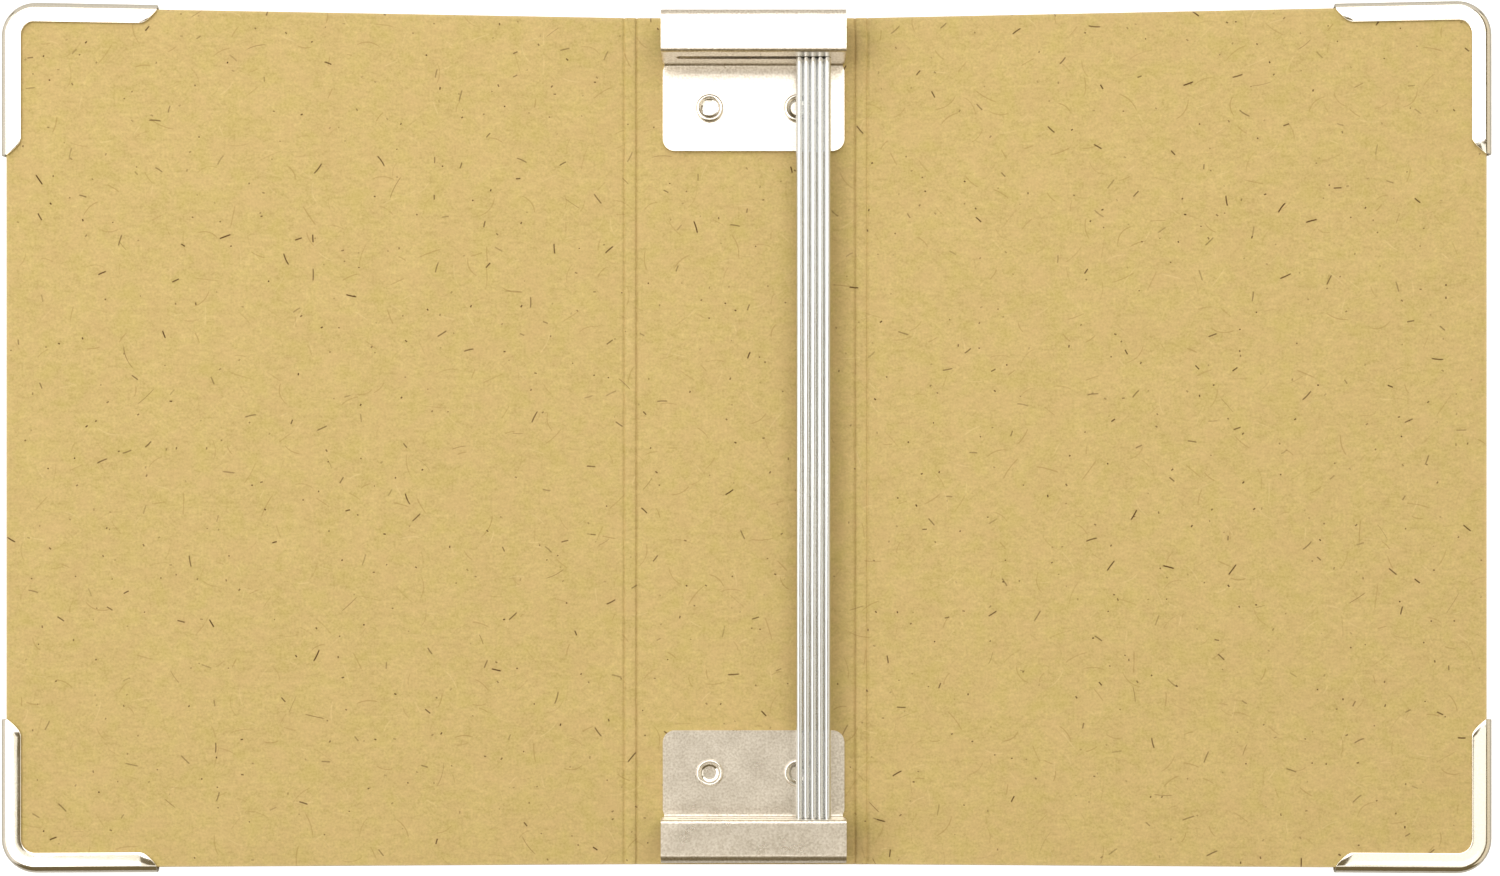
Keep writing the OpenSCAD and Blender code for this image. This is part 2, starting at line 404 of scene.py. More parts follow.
def draw_cover(side):
    seam = SIDES[side] * (OUTER_CREASE + CREASE_REACH)
    cover = draw_slab(f"{side}_cover_kraft", seam, SIDES[side] * FORE_EDGE)
    pick(cover, "EDGE", at_free_corner)
    bpy.ops.mesh.bevel(offset=CORNER_ROUND, segments=8)
    soften_edges(cover, seams=(seam,))
    keep_flat_place(cover)
    fold_into_place(cover, side)
    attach(cover, f"{side}_cover")
    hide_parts(f"{side}_cover_board")
    report(cover, f"{side}_cover_board")
    return cover


covers = [draw_cover(side) for side in SIDES]

# %% [markdown]
# ## The creases
# A press leaves a narrow groove on the inner face and a low bead on the outer one, and
# the strip between two grooves bulges a little. Each crease piece starts as a slab that
# bisect cuts into narrow columns. The columns are then moved up or down by the groove's
# profile, a bell curve. Many columns are needed close to the crease, where the piece
# turns through 45 degrees within half a millimetre.

# %% Profile of a crease
GROOVE_DEPTH = 0.24 * MM
GROOVE_W = 0.17 * MM
BEAD_HEIGHT = 0.08 * MM  # the board that a groove pushes out on the outer face
BEAD_W = 0.28 * MM
STRIP_BULGE = 0.09 * MM
STRIP_MIDDLE = INNER_CREASE + STRIP_W / 2


def groove(distance):
    return -GROOVE_DEPTH * math.exp(-((distance / GROOVE_W) ** 2))


def bead(distance):
    return -BEAD_HEIGHT * math.exp(-((distance / BEAD_W) ** 2))


def bulge(x):
    """The rise of the strip between the creases at a distance x from the middle of the spine."""
    across = (x - STRIP_MIDDLE) / (STRIP_W / 2)
    return STRIP_BULGE * max(0, 1 - across**2)


print(f"groove {GROOVE_DEPTH / MM:.2f} mm deep, bead {BEAD_HEIGHT / MM:.2f} mm high")

# %% Creases
COLUMNS = [step * 0.05 * MM for step in range(-8, 9)]  # where bisect cuts, from the crease
COLUMNS += [-0.6 * MM, 0.6 * MM, 0.8 * MM]


def draw_crease(side, which):
    """The piece of board from the stiff panel to the middle of the hinge strip."""
    crease, panel = {"inner": (INNER_CREASE, -1), "outer": (OUTER_CREASE, 1)}[which]
    seams = [SIDES[side] * (crease + panel * CREASE_REACH), SIDES[side] * STRIP_MIDDLE]
    obj = draw_slab(f"{side}_{which}_crease_kraft", *seams)
    for column in COLUMNS:
        bpy.ops.mesh.select_all(action="SELECT")
        cut = SIDES[side] * (crease - panel * column)
        bpy.ops.mesh.bisect(plane_co=(cut, 0, 0), plane_no=X_AXIS)
    places = sorted({round(abs(vert.co.x), 7) for vert in bmesh.from_edit_mesh(obj.data).verts})
    for x in places:
        inner_rise = groove(x - crease) + bulge(x)
        for face_z, rise in ((0, inner_rise), (-BOARD_T, bead(x - crease))):
            pick(obj, "VERT", lambda vert: near(abs(vert.co.x), x, 1e-6) and near(vert.co.z, face_z))
            bpy.ops.transform.translate(value=(0, 0, rise))
    soften_edges(obj, seams)
    keep_flat_place(obj)
    fold_into_place(obj, side)
    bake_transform(obj)
    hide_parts(f"{side}_{which}_crease")
    report(obj)
    return obj


creases = [draw_crease(side, which) for side in SIDES for which in ("inner", "outer")]
for side, crease in zip(("front", "back"), (creases[0], creases[2])):
    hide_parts(f"{side}_hinge_strip")
board_pieces = [spine, *covers, *creases]

# %% [markdown]
# ## Corner protectors
# A protector is one strip of thin sheet, pressed into a channel and bent round the
# corner. The channel's outer face is drawn as a line, extruded along the first arm,
# spun round the corner and extruded along the second arm. That gives an even channel
# with clean rows of faces, where cutting it out of a block would not. The upper flange
# is a little domed, so that it catches light along its length. Both arms end in a slant.
# A vertex bevel would stop at the first row of the dome, so the slant is made by moving
# the end points of the dome back along the arm. Solidify then gives the sheet its
# thickness inwards, and a fine bevel catches light on its rim.

# %% Sizes of a protector
corner_box = size_of("front_top_corner")
POCKET_WALL = corner_box[1].y - HALF_H  # from the board's edge to the outer face
ARM = corner_box[2].y
CORNER_R = 5.7 * MM
FLANGE = 3.4 * MM
CORNER_T = 0.5 * MM
CHANNEL_BEND = 1.2 * MM
CROWN = math.radians(7.5)  # slope of the slightly domed upper flange at its two edges
FLAT_W = FLANGE - CHANNEL_BEND  # what is left of a flange beside its bend
RIM_BEVEL = 0.09 * MM
print(f"arms of {ARM / MM:.1f} mm, a flange of {FLANGE / MM:.1f} mm over the board")

# %% Section of the channel
def draw_channel(place):
    """The section of the channel across an arm's end, from the lower flange to the upper one."""
    x, y = place
    lowest, highest = -BOARD_T - CORNER_T, CORNER_T
    obj = start_line("corner", (x + FLANGE, y, lowest))
    draw(-FLAT_W, 0, 0)
    draw_arc(QUARTER, (x + CHANNEL_BEND, y, lowest + CHANNEL_BEND), Y_AXIS, 6)
    crown_r = (FLAT_W / math.sin(CROWN) + CHANNEL_BEND) / 2
    bend_z = highest - CHANNEL_BEND - (crown_r - CHANNEL_BEND) * (1 - math.cos(CROWN))
    draw(0, 0, bend_z - lowest - CHANNEL_BEND)
    draw_arc(QUARTER - CROWN, (x + CHANNEL_BEND, y, bend_z), Y_AXIS, 6)
    to_crown = crown_r - CHANNEL_BEND
    crown_x, crown_z = to_crown * math.sin(CROWN), to_crown * math.cos(CROWN)
    draw_arc(2 * CROWN, (x + CHANNEL_BEND + crown_x, y, bend_z - crown_z), Y_AXIS, 14)
    return obj


print(f"dome from {-math.degrees(CROWN):.1f} to {math.degrees(CROWN):.1f} degrees")

# %% Slanting end of an arm
TIP_CUT = 2.6 * MM  # how far an arm's end is cut back at the flange's free edge
TIP_L = TIP_CUT + 0.3 * MM  # the last row of faces, which the cut has to stay inside
STRAIGHT = 0.6  # share of the cut that is straight, the rest curves into the free edge


def round_tip(obj, at_end, depth_of, along_arm):
    """Cuts the end of an arm back on a slant that turns into the flange's free edge."""

    def lower_tip(vert):
        return at_end(vert.co) and near(depth_of(vert.co), FLANGE) and vert.co.z < 0

    pick(obj, "VERT", lower_tip)
    bpy.ops.mesh.bevel(offset=FLAT_W - 0.05 * MM, segments=7, profile=0.35, affect="VERTICES")
    mesh = bmesh.from_edit_mesh(obj.data)
    crown = [vert.co.copy() for vert in mesh.verts if at_end(vert.co) and vert.co.z > 0]
    for point in crown:
        depth = min((depth_of(point) - CHANNEL_BEND) / FLAT_W, 1)
        if depth > 0:
            curve = 1 - math.sqrt(1 - depth**2)
            back_by = TIP_CUT * (STRAIGHT * depth + (1 - STRAIGHT) * curve)
            pick(obj, "VERT", lambda vert: (vert.co - point).length < 0.001 * MM)
            bpy.ops.transform.translate(value=back_by * Vector(along_arm))


print(f"arm ends cut back by {TIP_CUT / MM:.1f} mm")

# %% Corner protectors
def draw_corner(side, end):
    left, back = -FORE_EDGE - POCKET_WALL, HALF_H + POCKET_WALL
    obj = draw_channel((left, back - ARM))
    obj.name = obj.data.name = f"{side}_{end}_protector"
    bpy.ops.mesh.select_all(action="SELECT")
    draw(0, TIP_L, 0)
    draw(0, ARM - CORNER_R - TIP_L, 0)
    draw_arc(-QUARTER, (left + CORNER_R, back - CORNER_R, 0), Z_AXIS, 12)
    draw(ARM - CORNER_R - TIP_L, 0, 0)
    draw(TIP_L, 0, 0)
    round_tip(
        obj,
        at_end=lambda point: near(point.y, back - ARM),
        depth_of=lambda point: point.x - left,
        along_arm=(0, 1, 0),
    )
    round_tip(
        obj,
        at_end=lambda point: near(point.x, left + ARM),
        depth_of=lambda point: back - point.y,
        along_arm=(-1, 0, 0),
    )
    bpy.ops.mesh.select_all(action="SELECT")
    bpy.ops.transform.resize(value=(-SIDES[side], ENDS[end], 1), center_override=(0, 0, 0))
    face_out(obj)
    bpy.ops.object.mode_set(mode="OBJECT")
    add_modifier(obj, "SOLIDIFY", thickness=CORNER_T, offset=-1, use_even_offset=True)
    add_modifier(obj, "BEVEL", width=RIM_BEVEL, segments=2, limit_method="ANGLE", angle_limit=SHARP)
    fold_into_place(obj, side)
    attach(obj, f"{side}_cover")
    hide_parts(f"{side}_{end}_corner")
    report(obj, f"{side}_{end}_corner")
    return obj


protectors = [draw_corner(side, end) for side in SIDES for end in ENDS]

# %% [markdown]
# ## Brackets
# Each bracket is one folded sheet: a plate that the rivets hold, a wall with a slot for
# the rods, and a raised box. Its upper face is drawn as a line across the folds and
# extruded along the bracket. The box is folded sharper at its front than over the end
# of the board, and its top rises a little behind the front fold. Two corner points of
# the plate are bevelled round, and the foot of the wall is nicked at both ends, as a
# press tool leaves it. Solidify gives the thickness, a bevel breaks the sheared edges,
# and the slot is cut last, by a boolean.

# %% Sizes of a bracket
bracket_low, bracket_high = size_of("top_bracket")[:2]
SHEET_T = 0.7 * MM
BEND_R = 1.0 * MM
FRONT_BEND_R = 0.6 * MM  # the box's front edge
OUTER_BEND_R = 1.5 * MM  # the box's outer edge, over the end of the board
SLOPE_W, SLOPE_H = 1.6 * MM, 0.05 * MM  # the box rises a little behind its front edge
BOX_D = 7.2 * MM
PLATE_CORNER = 2.0 * MM
NICK = 0.25 * MM
NICK_REACH = 0.7 * MM  # how far the nick runs up the wall and along the plate
SLOT_L = 25.6 * MM
SLOT_H = 1.6 * MM
SLOT_FACETS = 32  # facets round the bar that cuts the slot
SHEARED_EDGE = 0.13 * MM
ROD_Z = (size_of("rod_1")[0].z + size_of("rod_1")[1].z) / 2
print(f"slot {SLOT_L / MM:.1f} x {SLOT_H / MM:.1f} mm, {ROD_Z / MM:.1f} mm above the floor")

# %% Cut of the slot
def cut_slot(obj, wall_y):
    """Cuts the rod slot with a cylinder that is pulled out into a long round-ended bar."""
    deselect_objects()
    middle = (bracket_low.x + bracket_high.x) / 2
    bpy.ops.mesh.primitive_cylinder_add(
        vertices=SLOT_FACETS,
        radius=SLOT_H / 2,
        depth=3 * SHEET_T,
        location=(middle, wall_y, ROD_Z),
        rotation=(QUARTER, 0, 0),
    )
    cutter = bpy.context.object
    bpy.ops.object.transform_apply(location=True, rotation=True, scale=True)
    bpy.ops.object.mode_set(mode="EDIT")
    turn(math.pi / SLOT_FACETS, (middle, wall_y, ROD_Z), "Y")
    for side in (-1, 1):
        pick(cutter, "VERT", lambda vert: side * (vert.co.x - middle) > 0)
        bpy.ops.transform.translate(value=(side * (SLOT_L - SLOT_H) / 2, 0, 0))
    bpy.ops.object.mode_set(mode="OBJECT")
    deselect_objects()
    obj.select_set(True)
    add_modifier(obj, "BOOLEAN", object=cutter, operation="DIFFERENCE", solver="EXACT")
    bpy.data.objects.remove(cutter)


print(f"the cutter goes {3 * SHEET_T / MM:.1f} mm through a {SHEET_T / MM:.1f} mm wall")

# %% Brackets
def draw_bracket(end):
    left, right = bracket_low.x, bracket_high.x
    foot, top = bracket_low.z, bracket_high.z
    plate_end, outer_wall = bracket_low.y, bracket_high.y
    inner_wall = outer_wall - BOX_D
    inside_r = BEND_R - SHEET_T
    bend_start = inner_wall - inside_r
    obj = start_line(f"{end}_bracket_nickel", (left, plate_end, foot + SHEET_T))
    draw(0, bend_start - NICK_REACH - plate_end, 0)
    draw(0, NICK_REACH, 0)
    draw_arc(QUARTER, (left, bend_start, foot + BEND_R), X_AXIS, 4)
    draw(0, 0, NICK_REACH)
    front_top = top - SLOPE_H - FRONT_BEND_R
    draw(0, 0, front_top - foot - BEND_R - NICK_REACH)
    draw_arc(-QUARTER, (left, inner_wall + FRONT_BEND_R, front_top), X_AXIS, 8)
    draw(0, SLOPE_W, SLOPE_H)
    draw(0, BOX_D - FRONT_BEND_R - SLOPE_W - OUTER_BEND_R, 0)
    draw_arc(-QUARTER, (left, outer_wall - OUTER_BEND_R, top - OUTER_BEND_R), X_AXIS, 10)
    draw(0, 0, foot - (top - OUTER_BEND_R))
    bpy.ops.mesh.select_all(action="SELECT")
    draw(right - left, 0, 0)

    def in_wall_foot(vert):
        slack = 0.01 * MM
        between = bend_start - slack < vert.co.y < inner_wall + slack
        return between and vert.co.z < foot + BEND_R + slack

    for edge, inwards in ((left, NICK), (right, -NICK)):
        pick(obj, "VERT", lambda vert: near(vert.co.x, edge) and in_wall_foot(vert))
        bpy.ops.transform.translate(value=(inwards, 0, 0))
    pick(obj, "VERT", lambda vert: near(vert.co.y, plate_end))
    bpy.ops.mesh.bevel(offset=PLATE_CORNER, segments=8, affect="VERTICES")
    if end == "bottom":
        bpy.ops.mesh.select_all(action="SELECT")
        bpy.ops.transform.resize(value=(1, -1, 1), center_override=(0, 0, 0))
    face_out(obj)
    bpy.ops.object.mode_set(mode="OBJECT")
    add_modifier(obj, "SOLIDIFY", thickness=SHEET_T, offset=-1, use_even_offset=True)
    add_modifier(obj, "BEVEL", width=SHEARED_EDGE, segments=3, limit_method="ANGLE", angle_limit=SHARP)
    cut_slot(obj, ENDS[end] * (inner_wall + SHEET_T / 2))
    smooth(obj)
    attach(obj, "spine")
    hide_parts(f"{end}_bracket")
    report(obj, f"{end}_bracket")
    return obj


brackets = [draw_bracket(end) for end in ENDS]

# %% [markdown]
# ## Rivets
# A rivet's section is drawn once, from the middle of the outer head, round the head, up
# the shank and over the rolled ring into the dish, and spun into a solid. The other
# three are copies, each with its own mesh.

# %% One rivet
RING_R, RING_H = 2.3 * MM, 0.7 * MM
LIP_R = 0.30 * MM  # the round edge from the ring down into the dish
DISH_EDGE_R = 0.30 * MM
DISH_SLOPE = math.radians(22)
SHANK_R = 1.5 * MM
HEAD_H = BOARD_TOP - BOARD_T
PLATE_TOP = BOARD_TOP + SHEET_T


def draw_rivet(node):
    low, high, size = size_of(node)
    x, y = (low.x + high.x) / 2, (low.y + high.y) / 2
    head_r, rim = size.x / 2, RING_H / 2
    obj = start_line(f"{node}_nickel", (x, y, 0))
    draw(head_r - HEAD_H, 0, 0)
    draw_arc(-QUARTER, (x + head_r - HEAD_H, y, HEAD_H), Y_AXIS, 8)
    draw(SHANK_R - head_r, 0, 0)
    draw(0, 0, PLATE_TOP - HEAD_H)
    draw(RING_R - rim - SHANK_R, 0, 0)
    draw_arc(-2 * QUARTER, (x + RING_R - rim, y, PLATE_TOP + rim), Y_AXIS, 10)
    ring_top = PLATE_TOP + RING_H
    draw_arc(-QUARTER, (x + RING_R - rim, y, ring_top - LIP_R), Y_AXIS, 6)
    edge_x = RING_R - rim - LIP_R - DISH_EDGE_R
    draw_arc(QUARTER - DISH_SLOPE, (x + edge_x, y, ring_top - LIP_R), Y_AXIS, 6)
    ball_z = ring_top - LIP_R + edge_x / math.tan(DISH_SLOPE)
    draw_arc(DISH_SLOPE, (x, y, ball_z), Y_AXIS, 8)
    bpy.ops.mesh.select_all(action="SELECT")
    draw_arc(4 * QUARTER, (x, y, 0), Z_AXIS, 48)
    bpy.ops.mesh.select_all(action="SELECT")
    bpy.ops.mesh.remove_doubles(threshold=0.002 * MM)
    bpy.ops.mesh.normals_make_consistent(inside=False)
    bpy.ops.object.mode_set(mode="OBJECT")
    smooth(obj, angle=50)
    return obj


rivet_nodes = [f"{end}_{side}_rivet" for end in ENDS for side in SIDES]
rivets = [draw_rivet(rivet_nodes[0])]
print(f"a rivet of {len(rivets[0].data.polygons)} faces")

# %% The other rivets
def copy_to(obj, name, offset):
    """A copy with its own mesh, moved by an offset that goes into the mesh."""
    deselect_objects()
    obj.select_set(True)
    bpy.context.view_layer.objects.active = obj
    bpy.ops.object.duplicate(linked=False)
    copy = bpy.context.object
    copy.name = copy.data.name = name
    bpy.ops.transform.translate(value=offset)
    bpy.ops.object.transform_apply(location=True, rotation=False, scale=False)
    return copy


for node in rivet_nodes[1:]:
    step = size_of(node)[0] - size_of(rivet_nodes[0])[0]
    rivets.append(copy_to(rivets[0], f"{node}_nickel", step))
for rivet, node in zip(rivets, rivet_nodes):
    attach(rivet, "spine")
    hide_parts(node)
    report(rivet, node)

# %% [markdown]
# ## Rods
# The rods are plain wire, cut to length and tumbled, so their ends are slightly round.
# One is made from a cylinder and copied for the others. Each rides on its own body.

# %% Rods
ROD_COUNT = 5
ROD_END = 0.2 * MM


def draw_rod():
    low, high, size = size_of("rod_1")
    deselect_objects()
    bpy.ops.mesh.primitive_cylinder_add(
        vertices=32, radius=size.x / 2, depth=size.y, location=(low + high) / 2, rotation=(QUARTER, 0, 0)
    )
    obj = bpy.context.object
    obj.name = obj.data.name = "rod_1_wire"
    bpy.ops.object.transform_apply(location=True, rotation=True, scale=True)
    bpy.ops.object.mode_set(mode="EDIT")
    pick(obj, "EDGE", lambda edge: near(edge.verts[0].co.y, edge.verts[1].co.y))
    bpy.ops.mesh.bevel(offset=ROD_END, segments=3)
    bpy.ops.object.mode_set(mode="OBJECT")
    smooth(obj, angle=40)
    return obj


rods = [draw_rod()]
for number in range(2, ROD_COUNT + 1):
    step = size_of(f"rod_{number}")[0] - size_of("rod_1")[0]
    rods.append(copy_to(rods[0], f"rod_{number}_wire", step))
for number, rod in enumerate(rods, start=1):
    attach(rod, f"rod_{number}_body")
    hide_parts(f"rod_{number}")
    report(rod, f"rod_{number}")

# %% [markdown]
# ## Helpers for finishes
# A finish is a small graph of nodes. These helpers add one node each and wire its
# inputs, so that a graph reads like a formula.

# %% Helpers that wire and calculate
def feed(tree, socket, value):
    """Gives an input a wire, or a fixed value."""
    if isinstance(value, bpy.types.NodeSocket):
        tree.links.new(value, socket)
    else:
        socket.default_value = value


def calc(tree, operation, *values, clamp=False):
    node = tree.nodes.new("ShaderNodeMath")
    node.operation, node.use_clamp = operation, clamp
    for socket, value in zip(node.inputs, values):
        feed(tree, socket, value)
    return node.outputs[0]


def vector_calc(tree, operation, *values):
    node = tree.nodes.new("ShaderNodeVectorMath")
    node.operation = operation
    for socket, value in zip(node.inputs, values):
        feed(tree, socket, value)
    return node.outputs["Vector"]


def split(tree, vector):
    node = tree.nodes.new("ShaderNodeSeparateXYZ")
    feed(tree, node.inputs[0], vector)
    return node.outputs


print("calculate with feed, calc, vector_calc and split")

# %% Helpers that vary, mix and emboss
def noise(tree, vector, scale, detail=2.0, roughness=0.5):
    node = tree.nodes.new("ShaderNodeTexNoise")
    settings = {"Vector": vector, "Scale": scale, "Detail": detail, "Roughness": roughness}
    for name, value in settings.items():
        feed(tree, node.inputs[name], value)
    return node.outputs["Fac"]


def remap(tree, value, low, high, to_low=0.0, to_high=1.0, smooth_step=False):
    node = tree.nodes.new("ShaderNodeMapRange")
    if smooth_step:
        node.interpolation_type = "SMOOTHSTEP"
    for socket, number in zip(node.inputs, (value, low, high, to_low, to_high)):
        feed(tree, socket, number)
    return node.outputs["Result"]


def mix_colours(tree, factor, first, second):
    node = tree.nodes.new("ShaderNodeMix")
    node.data_type = "RGBA"
    for index, value in ((0, factor), (6, first), (7, second)):  # its sockets for colours
        feed(tree, node.inputs[index], value)
    return node.outputs[2]


def bump(tree, height, strength, distance):
    node = tree.nodes.new("ShaderNodeBump")
    for name, value in (("Strength", strength), ("Distance", distance), ("Height", height)):
        feed(tree, node.inputs[name], value)
    return node.outputs["Normal"]


print("shape a finish with noise, remap, mix_colours and bump")

# %% Helpers for groups and materials
def new_group(name, inputs, outputs):
    """A node group with named sockets: returns its tree, its input sockets and its output node."""
    tree = bpy.data.node_groups.new(name, "ShaderNodeTree")
    for label, kind, default in inputs:
        socket = tree.interface.new_socket(name=label, in_out="INPUT", socket_type=kind)
        if default is not None:
            socket.default_value = default
    for label, kind in outputs:
        tree.interface.new_socket(name=label, in_out="OUTPUT", socket_type=kind)
    return tree, tree.nodes.new("NodeGroupInput").outputs, tree.nodes.new("NodeGroupOutput")


def use_group(tree, group, **values):
    """Places a group in a graph. Names of sockets are given in lower case with underscores."""
    node = tree.nodes.new("ShaderNodeGroup")
    node.node_tree = group
    for name, value in values.items():
        feed(tree, node.inputs[name.replace("_", " ").capitalize()], value)
    return node.outputs


def new_material(name, **fixed):
    """A material with its Principled shader, whose fixed inputs are set on its own sockets."""
    material = bpy.data.materials.new(name)
    material.use_nodes = True
    shader = material.node_tree.nodes["Principled BSDF"]
    for label, value in fixed.items():
        shader.inputs[label.replace("_", " ")].default_value = value
    return material, material.node_tree, shader


def dress(pieces, material):
    for piece in pieces:
        piece.data.materials.clear()
        piece.data.materials.append(material)


print("build with new_group, use_group, new_material and dress")

# %% [markdown]
# ## Fibres
# Kraft board is pulp with bits of bark and unbleached fibre. A fibre is a short, thin,
# slightly bent stroke at a random angle. One cheap way to scatter such strokes is a
# Voronoi texture: each cell has a centre and a random colour, and the colour turns and
# bends a stroke through the centre. Cells are larger than their stroke, so few are
# cut off. The group is placed several times, for long pale fibres and short dark ones.

# %% Cells and their chances
fibres, given, result = new_group(
    "scattered_fibres",
    [("Place", "NodeSocketVector", None), ("Cells", "NodeSocketFloat", 100.0),
     ("Length", "NodeSocketFloat", 0.3), ("Width", "NodeSocketFloat", 0.02),
     ("Share", "NodeSocketFloat", 0.5), ("Curl", "NodeSocketFloat", 1.0)],
    [("Mask", "NodeSocketFloat")],
)
enlarge = fibres.nodes.new("ShaderNodeVectorMath")
enlarge.operation = "SCALE"
feed(fibres, enlarge.inputs["Vector"], given["Place"])
feed(fibres, enlarge.inputs["Scale"], given["Cells"])
scaled = enlarge.outputs["Vector"]
cells = fibres.nodes.new("ShaderNodeTexVoronoi")
cells.voronoi_dimensions = "2D"
feed(fibres, cells.inputs["Vector"], scaled)
cells.inputs["Scale"].default_value = 1.0
chance = split(fibres, cells.outputs["Color"])
print("fibre group so far:", len(fibres.nodes), "nodes")

# %% One stroke in each cell
from_centre = vector_calc(fibres, "SUBTRACT", scaled, cells.outputs["Position"])
turned = fibres.nodes.new("ShaderNodeVectorRotate")
turned.rotation_type = "Z_AXIS"
feed(fibres, turned.inputs["Vector"], from_centre)
feed(fibres, turned.inputs["Angle"], calc(fibres, "MULTIPLY", chance[0], 2 * math.pi))
along, across, _ = split(fibres, turned.outputs[0])
curl = calc(fibres, "MULTIPLY", calc(fibres, "SUBTRACT", chance[1], 0.5), given["Curl"])
bent = calc(fibres, "MULTIPLY_ADD", calc(fibres, "MULTIPLY", along, along), curl, across)
own_length = calc(fibres, "MULTIPLY", given["Length"], remap(fibres, chance[2], 0.0, 1.0, 0.35, 1.0))


def fade(distance, solid_share, limit):
    """A mask that is full near the stroke's middle and fades out at a limit."""
    solid = calc(fibres, "MULTIPLY", limit, solid_share)
    return remap(fibres, calc(fibres, "ABSOLUTE", distance), solid, limit, 1.0, 0.0, smooth_step=True)


stroke = calc(fibres, "MULTIPLY", fade(bent, 0.4, given["Width"]), fade(along, 0.7, own_length))
print("fibre group so far:", len(fibres.nodes), "nodes")

# %% Which cells hold a fibre
lottery = fibres.nodes.new("ShaderNodeTexWhiteNoise")
lottery.noise_dimensions = "2D"
feed(fibres, lottery.inputs["Vector"], cells.outputs["Position"])
present = calc(fibres, "LESS_THAN", lottery.outputs["Value"], given["Share"])
luck = calc(fibres, "DIVIDE", lottery.outputs["Value"], given["Share"])
own_strength = calc(fibres, "MULTIPLY", present, remap(fibres, luck, 0.0, 1.0, 1.0, 0.3))
feed(fibres, result.inputs["Mask"], calc(fibres, "MULTIPLY", stroke, own_strength))
print("fibre group:", len(fibres.nodes), "nodes")

# %% [markdown]
# ## Kraft finish
# The colour is a warm tan that drifts in soft blotches a few millimetres wide, with a
# finer cloud of pulp on top. Over it lie pale fibres, tan fibres and dark flecks. The
# inner creases get painted shade, a darker colour where the groove's shadow falls. The
# cut edge shows the plies of the board. The rim is painted paler: partly rubbed wear,
# partly a painted highlight where light catches the rounded edge. All of it reads the
# flat position kept on the pieces, in metres, and the outer face takes another part of
# the same pattern, so that the two faces differ.

# %% Place on the sheet
kraft, graph, shader = new_material(
    "kraft_board", Roughness=0.82, Specular_IOR_Level=0.25, Sheen_Weight=0.05, Sheen_Roughness=0.6
)
sheet = graph.nodes.new("ShaderNodeAttribute")
sheet.attribute_name = "sheet"
flat_x, flat_y, flat_z = split(graph, sheet.outputs["Vector"])
outer_face = calc(graph, "LESS_THAN", flat_z, -BOARD_T / 2)
other_part = graph.nodes.new("ShaderNodeCombineXYZ")
feed(graph, other_part.inputs["X"], calc(graph, "MULTIPLY_ADD", outer_face, 0.37, flat_x))
feed(graph, other_part.inputs["Y"], calc(graph, "MULTIPLY_ADD", outer_face, 0.23, flat_y))
feed(graph, other_part.inputs["Z"], flat_z)
place = other_part.outputs[0]
print("kraft so far:", len(graph.nodes), "nodes")

# %% Colour of the pulp
BLOTCH_RATE, CLOUD_RATE, GRAIN_RATE, HUE_RATE = 150.0, 850.0, 2500.0, 240.0  # per metre
KRAFT_DARK = (0.428, 0.322, 0.118, 1)
KRAFT_LIGHT = (0.640, 0.502, 0.218, 1)
KRAFT_RED = (0.58, 0.405, 0.195, 1)
KRAFT_GREEN = (0.50, 0.42, 0.120, 1)
pulled = vector_calc(graph, "MULTIPLY", place, (0.75, 1.15, 1))
blotches = noise(graph, place, BLOTCH_RATE)
cloud = noise(graph, pulled, CLOUD_RATE, detail=3.0, roughness=0.6)
grain = noise(graph, place, GRAIN_RATE, roughness=0.6)
tone = calc(graph, "MULTIPLY_ADD", cloud, 1.15, calc(graph, "MULTIPLY", grain, 1.35))
tone = calc(graph, "MULTIPLY_ADD", blotches, 0.42, tone)
tone = remap(graph, tone, 0.97, 1.96)
colour = mix_colours(graph, tone, KRAFT_DARK, KRAFT_LIGHT)
hue = noise(graph, place, HUE_RATE, detail=4.0, roughness=0.6)
colour = mix_colours(graph, remap(graph, hue, 0.46, 0.68, 0.0, 0.42), colour, KRAFT_RED)
colour = mix_colours(graph, remap(graph, hue, 0.50, 0.30, 0.0, 0.34), colour, KRAFT_GREEN)
print("kraft so far:", len(graph.nodes), "nodes")

# %% Fibres and flecks
FIBRES = [  # cells per metre, length and width in cells, share of cells, curl, strength, colour
    (170.0, 0.36, 0.024, 0.55, 1.8, 0.30, (0.74, 0.60, 0.32, 1)),
    (190.0, 0.45, 0.028, 0.60, 2.2, 0.50, (0.34, 0.220, 0.070, 1)),
    (125.0, 0.15, 0.020, 0.60, 1.6, 1.00, (0.085, 0.036, 0.006, 1)),
    (60.0, 0.14, 0.006, 0.45, 3.0, 0.75, (0.18, 0.10, 0.030, 1)),
    (300.0, 0.08, 0.050, 0.30, 0.6, 1.00, (0.10, 0.045, 0.010, 1)),
]
relief = calc(graph, "MULTIPLY_ADD", grain, 0.5, cloud)
for number, (cell_rate, length, width, share, bend, strength, fibre_colour) in enumerate(FIBRES):
    shifted = vector_calc(graph, "ADD", place, (0.013 * number, 0.029 * number, 0))
    layer = use_group(
        graph, fibres, place=shifted, cells=cell_rate, length=length, width=width, share=share, curl=bend
    )
    mask = calc(graph, "MULTIPLY", layer["Mask"], strength)
    colour = mix_colours(graph, mask, colour, fibre_colour)
    relief = calc(graph, "MULTIPLY_ADD", mask, 0.6, relief)
print(len(FIBRES), "layers of fibres")
